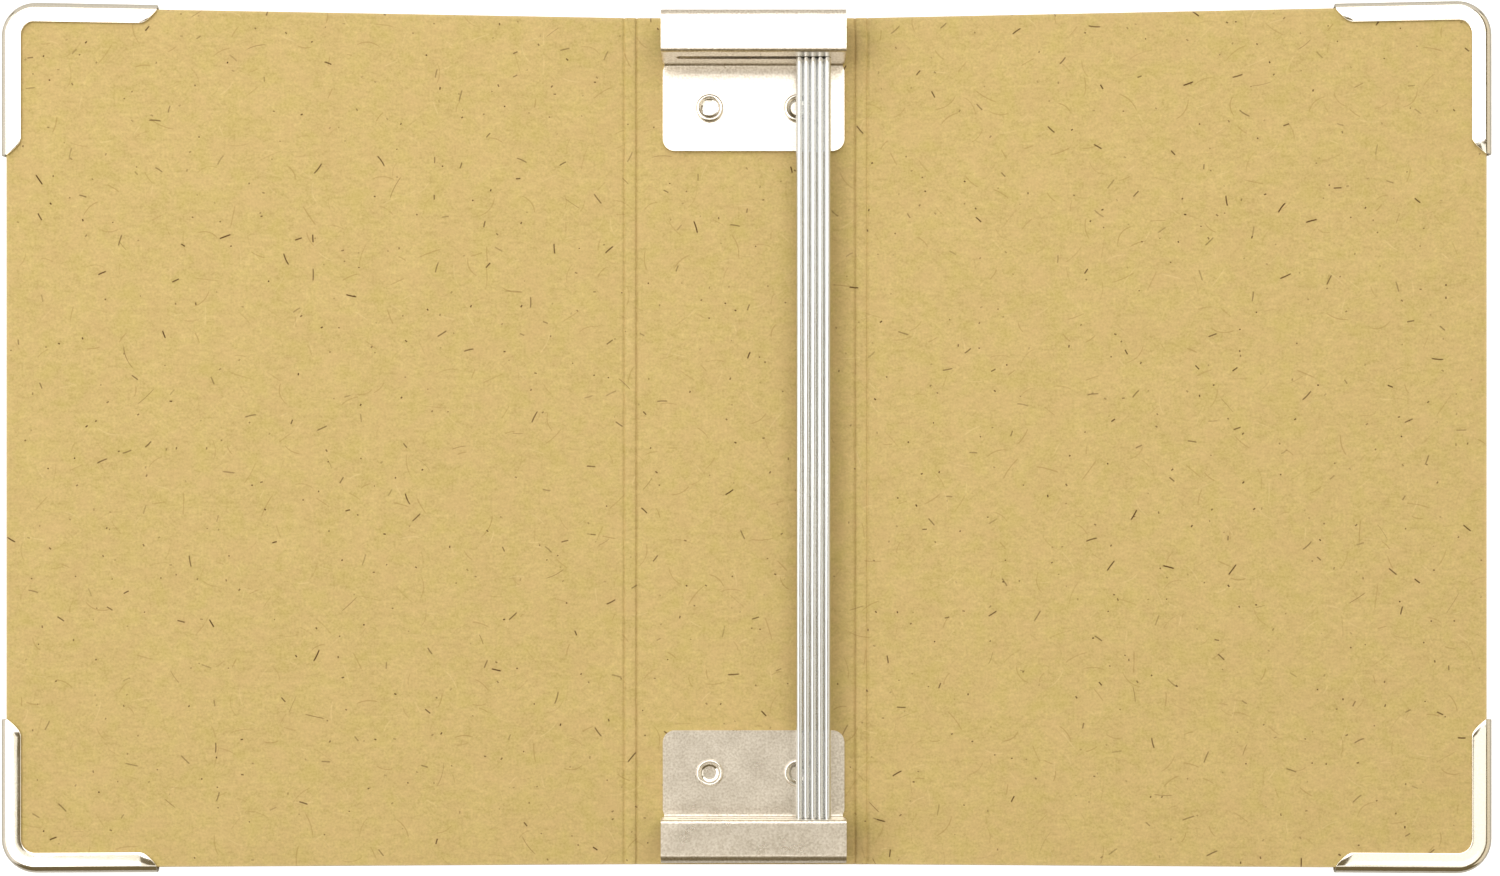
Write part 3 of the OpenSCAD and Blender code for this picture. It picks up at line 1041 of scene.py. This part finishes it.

# %% Painted crease shade, cut edges and pale rim
# Painted shade: the colour is darkened along the inner creases, where the groove's shadow falls.
CREASE_SHADE_COLOUR = (0.25, 0.15, 0.04, 1)
PLY_DARK, PLY_LIGHT = (0.40, 0.29, 0.14, 1), (0.60, 0.46, 0.24, 1)
RIM_WEAR_AND_HIGHLIGHT_COLOUR = (0.72, 0.60, 0.38, 1)
from_middle = calc(graph, "ABSOLUTE", flat_x)
from_crease = calc(graph, "ABSOLUTE", calc(graph, "SUBTRACT", from_middle, INNER_CREASE))
crease_shade = remap(graph, from_crease, 0.08 * MM, 0.34 * MM, 0.18, 0.0, smooth_step=True)
colour = mix_colours(graph, crease_shade, colour, CREASE_SHADE_COLOUR)

below_inner = calc(graph, "MULTIPLY", flat_z, -1.0)
depth = calc(graph, "MINIMUM", below_inner, calc(graph, "ADD", flat_z, BOARD_T))
cut_edge = remap(graph, depth, 0.26 * MM, 0.36 * MM, 0.0, 1.0)
plies = vector_calc(graph, "MULTIPLY", sheet.outputs["Vector"], (1, 1, 14))
ply_tone = remap(graph, noise(graph, plies, 330.0, detail=3.0), 0.35, 0.65)
colour = mix_colours(graph, cut_edge, colour, mix_colours(graph, ply_tone, PLY_DARK, PLY_LIGHT))

# Pale rim: partly rubbed wear, partly a painted highlight where light catches the rounded edge.
to_fore_edge = calc(graph, "SUBTRACT", FORE_EDGE, from_middle)
to_end = calc(graph, "SUBTRACT", HALF_H, calc(graph, "ABSOLUTE", flat_y))
to_rim = calc(graph, "MINIMUM", to_fore_edge, to_end)
ragged = calc(graph, "MULTIPLY_ADD", cloud, 0.5 * MM, to_rim)
rim_wear_and_highlight = remap(graph, ragged, 0.25 * MM, 0.75 * MM, 0.30, 0.0)
colour = mix_colours(graph, rim_wear_and_highlight, colour, RIM_WEAR_AND_HIGHLIGHT_COLOUR)
feed(graph, shader.inputs["Base Color"], colour)
feed(graph, shader.inputs["Normal"], bump(graph, relief, 0.35, 0.06 * MM))
dress(board_pieces, kraft)
print("kraft:", len(graph.nodes), "nodes")

# %% [markdown]
# ## Metal finishes
# The brackets are satin nickel: a tumbled surface with a very fine sparkle. The corner
# protectors and rivets are bright nickel, pressed from thin sheet, so their mirror is
# wavy and carries a few hairlines. The rods are drawn wire, with marks along their
# length. One group makes the small relief for all of them: soft waves, a fine grain
# that may be stretched, and hairline scratches.

# %% Metal relief group
metal, given, result = new_group(
    "metal_relief",
    [("Place", "NodeSocketVector", None), ("Stretch", "NodeSocketVector", (1, 1, 1)),
     ("Wave rate", "NodeSocketFloat", 150.0), ("Grain rate", "NodeSocketFloat", 9000.0),
     ("Hairlines", "NodeSocketFloat", 0.3)],
    [("Waves", "NodeSocketFloat"), ("Grain", "NodeSocketFloat"), ("Scratches", "NodeSocketFloat")],
)
drawn_out = vector_calc(metal, "MULTIPLY", given["Place"], given["Stretch"])
feed(metal, result.inputs["Waves"], noise(metal, given["Place"], given["Wave rate"], detail=1.0))
feed(metal, result.inputs["Grain"], noise(metal, drawn_out, given["Grain rate"], detail=1.0))
hairline = use_group(
    metal, fibres, place=given["Place"], cells=170.0, length=0.48, width=0.006, share=0.8, curl=0.8
)
scratched = calc(metal, "MULTIPLY", hairline["Mask"], given["Hairlines"])
feed(metal, result.inputs["Scratches"], scratched)
print("metal relief group:", len(metal.nodes), "nodes")

# %% Helper for a metal
def metal_finish(name, pieces, slot, light, dark, rough, **relief_values):
    """A metal whose colour and roughness drift a little, with relief from the group."""
    material, tree, shader = new_material(name, Metallic=1.0)
    here = tree.nodes.new("ShaderNodeTexCoord").outputs["Object"]
    heights = {part: relief_values.pop(f"{part}_height") for part in ("wave", "grain", "scratch")}
    waves, grains, scratches = use_group(tree, metal, place=here, **relief_values)
    colour = mix_colours(tree, remap(tree, grains, 0.3, 0.7), dark, light)
    feed(tree, shader.inputs["Base Color"], colour)
    smear = noise(tree, here, 260.0, detail=3.0)
    low, high = rough
    roughness = remap(tree, smear, 0.3, 0.7, low, high)
    roughness = calc(tree, "MULTIPLY_ADD", scratches, 0.25, roughness, clamp=True)
    feed(tree, shader.inputs["Roughness"], roughness)
    soft = bump(tree, waves, 1.0, heights["wave"])
    height = calc(tree, "MULTIPLY", grains, heights["grain"])
    height = calc(tree, "MULTIPLY_ADD", scratches, -heights["scratch"], height)
    fine = tree.nodes.new("ShaderNodeBump")
    fine.inputs["Strength"].default_value = 1.0
    fine.inputs["Distance"].default_value = 1.0  # the height is in metres already
    feed(tree, fine.inputs["Height"], height)
    feed(tree, fine.inputs["Normal"], soft)
    feed(tree, shader.inputs["Normal"], fine.outputs["Normal"])
    dress(pieces, material)
    print(f"{name}: roughness {low} to {high}, on {len(pieces)} pieces")


print("a finish for each metal comes from metal_finish")

# %% Nickel
metal_finish(
    "satin_nickel", brackets, "bracket_nickel",
    light=(0.98, 0.93, 0.85, 1), dark=(0.72, 0.66, 0.57, 1), rough=(0.27, 0.31),
    wave_rate=60.0, grain_rate=2700.0, hairlines=0.15,
    wave_height=0.006 * MM, grain_height=0.011 * MM, scratch_height=0.001 * MM,
)
metal_finish(
    "bright_nickel", protectors, "corner_nickel",
    light=(0.90, 0.87, 0.80, 1), dark=(0.84, 0.81, 0.74, 1), rough=(0.07, 0.14),
    wave_rate=190.0, grain_rate=3000.0, hairlines=0.5,
    wave_height=0.03 * MM, grain_height=0.0004 * MM, scratch_height=0.001 * MM,
)
metal_finish(
    "rivet_nickel", rivets, "rivet_nickel",
    light=(0.88, 0.85, 0.79, 1), dark=(0.80, 0.77, 0.71, 1), rough=(0.08, 0.16),
    wave_rate=400.0, grain_rate=4000.0, hairlines=0.5,
    wave_height=0.010 * MM, grain_height=0.0005 * MM, scratch_height=0.001 * MM,
)

# %% Drawn wire
metal_finish(
    "drawn_wire", rods, "rod_steel",
    light=(0.72, 0.74, 0.75, 1), dark=(0.66, 0.68, 0.69, 1), rough=(0.12, 0.20),
    stretch=(1, 0.03, 1), wave_rate=20.0, grain_rate=6000.0, hairlines=0.1,
    wave_height=0.0, grain_height=0.0001 * MM, scratch_height=0.0003 * MM,
)

# %% [markdown]
# ## Floor finish
# The floor is matt paper of a middle grey, so it throws little light back under the
# covers. It only glows white for the camera, as the room does.

# %% Floor finish
PAPER_DARK, PAPER_LIGHT = (0.48, 0.47, 0.45, 1), (0.52, 0.51, 0.49, 1)
GLOW = 0.9
sweep, graph, shader = new_material("white_sweep", Roughness=0.9)
shader.inputs["Emission Color"].default_value = (1, 1, 1, 1)
here = graph.nodes.new("ShaderNodeTexCoord").outputs["Object"]
paper = noise(graph, here, 35.0, detail=3.0)
feed(graph, shader.inputs["Base Color"], mix_colours(graph, paper, PAPER_DARK, PAPER_LIGHT))
seen = graph.nodes.new("ShaderNodeLightPath").outputs["Is Camera Ray"]
feed(graph, shader.inputs["Emission Strength"], calc(graph, "MULTIPLY", seen, GLOW))
floor.data.materials.append(sweep)
print("floor glows by", GLOW)
